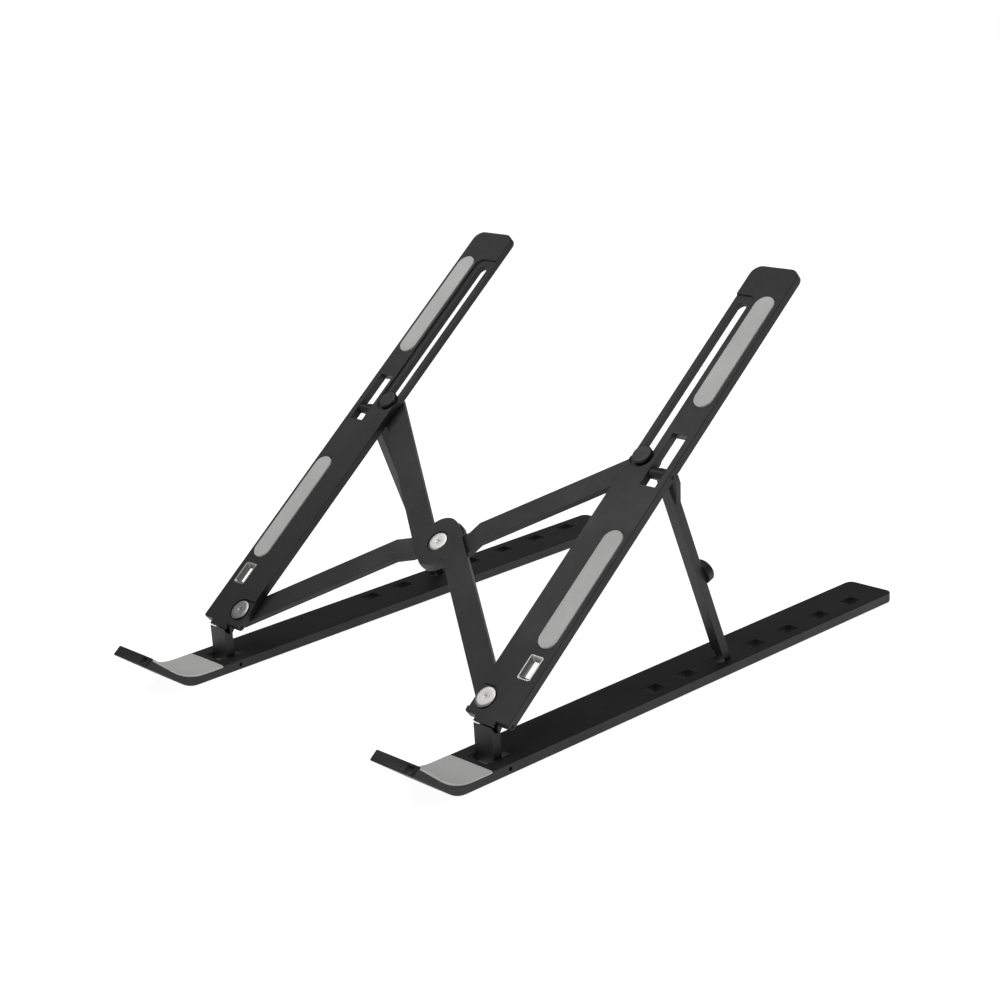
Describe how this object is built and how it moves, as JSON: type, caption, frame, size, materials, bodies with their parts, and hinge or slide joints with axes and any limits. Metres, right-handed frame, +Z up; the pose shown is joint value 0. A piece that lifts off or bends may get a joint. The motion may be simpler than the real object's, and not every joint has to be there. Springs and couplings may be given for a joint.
{
  "type": "laptop stand",
  "caption": "Folding laptop stand: base bars with upturned lips, tilted arms on posts and struts, joined by crossing links that let the sides close together.",
  "frame": {"origin": "middle of the outline's footprint, on the ground", "axes": "+Y from the lips towards the rear ends of the bars, +X towards the right side, +Z up"},
  "size_m": [0.178, 0.2611, 0.1476],
  "materials": {
    "black_plastic": "fine matte texture, moulded glass-filled nylon",
    "knob_plastic": "smooth satin",
    "grey_silicone": "matte silicone",
    "black_rubber": "matte anti-slip rubber",
    "pin_steel": "ground steel",
    "bright_metal": "satin nickel-plated"
  },
  "bodies": {
    "right_base": {"right_base_bar": "black_plastic", "right_front_pad": "grey_silicone", "right_front_grip": "black_rubber", "right_rear_grip": "black_rubber", "right_base_pin": "pin_steel"},
    "right_post": {"right_post": "black_plastic"},
    "right_arm": {"right_arm": "black_plastic", "right_arm_pin": "pin_steel", "right_strut_pin": "pin_steel", "right_upper_pad": "grey_silicone", "right_lower_pad": "grey_silicone", "right_catch_frame": "bright_metal", "right_corner_rivet": "bright_metal"},
    "right_strut": {"right_strut": "black_plastic", "right_strut_stud": "black_plastic"},
    "left_base": {"left_base_bar": "black_plastic", "left_front_pad": "grey_silicone", "left_front_grip": "black_rubber", "left_rear_grip": "black_rubber", "left_base_pin": "pin_steel"},
    "left_post": {"left_post": "black_plastic"},
    "left_arm": {"left_arm": "black_plastic", "left_arm_pin": "pin_steel", "left_strut_pin": "pin_steel", "left_upper_pad": "grey_silicone", "left_lower_pad": "grey_silicone", "left_catch_frame": "bright_metal", "left_corner_rivet": "bright_metal"},
    "left_strut": {"left_strut": "black_plastic", "left_strut_stud": "black_plastic"},
    "over_link": {"cross_link_over": "black_plastic", "left_slider_knob": "knob_plastic", "centre_rivet": "bright_metal"},
    "under_link": {"cross_link_under": "black_plastic", "right_slider_knob": "knob_plastic"}
  },
  "joints": [
    {"name": "post_rock", "type": "hinge", "parent": "right_base", "child": "right_post", "pos_m": [0.07775, -0.0863, 0.0024], "axis": [1, 0, 0], "range_deg": [0, 30]},
    {"name": "arm_lift", "type": "hinge", "parent": "right_post", "child": "right_arm", "pos_m": [0.07775, -0.0843, 0.0174], "axis": [1, 0, 0], "range_deg": [0, 40]},
    {"name": "width_fold", "type": "hinge", "parent": "right_arm", "child": "over_link", "pos_m": [0.0717, -0.07852, 0.02011], "axis": [0, 0.6252, -0.7804], "range_deg": [0, 49.5]},
    {"name": "centre_turn", "type": "hinge", "parent": "over_link", "child": "under_link", "pos_m": [0, -0.03646, 0.05381], "axis": [0, -0.6252, 0.7804], "range_deg": [0, 99]},
    {"name": "left_corner_turn", "type": "hinge", "parent": "under_link", "child": "left_arm", "pos_m": [-0.0717, -0.07852, 0.02011], "axis": [0, 0.6252, -0.7804], "range_deg": [0, 49.5]},
    {"name": "left_arm_turn", "type": "hinge", "parent": "left_arm", "child": "left_post", "pos_m": [-0.07775, -0.0843, 0.0174], "axis": [1, 0, 0], "range_deg": [-40, 0]},
    {"name": "left_base_turn", "type": "hinge", "parent": "left_post", "child": "left_base", "pos_m": [-0.07775, -0.0863, 0.0024], "axis": [1, 0, 0], "range_deg": [-30, 0]},
    {"name": "right_strut_fold", "type": "hinge", "parent": "right_arm", "child": "right_strut", "pos_m": [0.07775, 0.0006, 0.08529], "axis": [1, 0, 0], "range_deg": [-71.2, 0]},
    {"name": "left_strut_fold", "type": "hinge", "parent": "left_arm", "child": "left_strut", "pos_m": [-0.07775, 0.0006, 0.08529], "axis": [1, 0, 0], "range_deg": [-71.2, 0]}
  ],
  "couplings": [
    {"joint": "centre_turn", "follows": "width_fold", "ratio": 2},
    {"joint": "left_corner_turn", "follows": "width_fold", "ratio": 1},
    {"joint": "left_arm_turn", "follows": "arm_lift", "ratio": -1},
    {"joint": "right_strut_fold", "follows": "arm_lift", "ratio": -1.78},
    {"joint": "left_strut_fold", "follows": "arm_lift", "ratio": -1.78},
    {"joint": "left_base_turn", "follows": "post_rock", "ratio": -1}
  ]
}
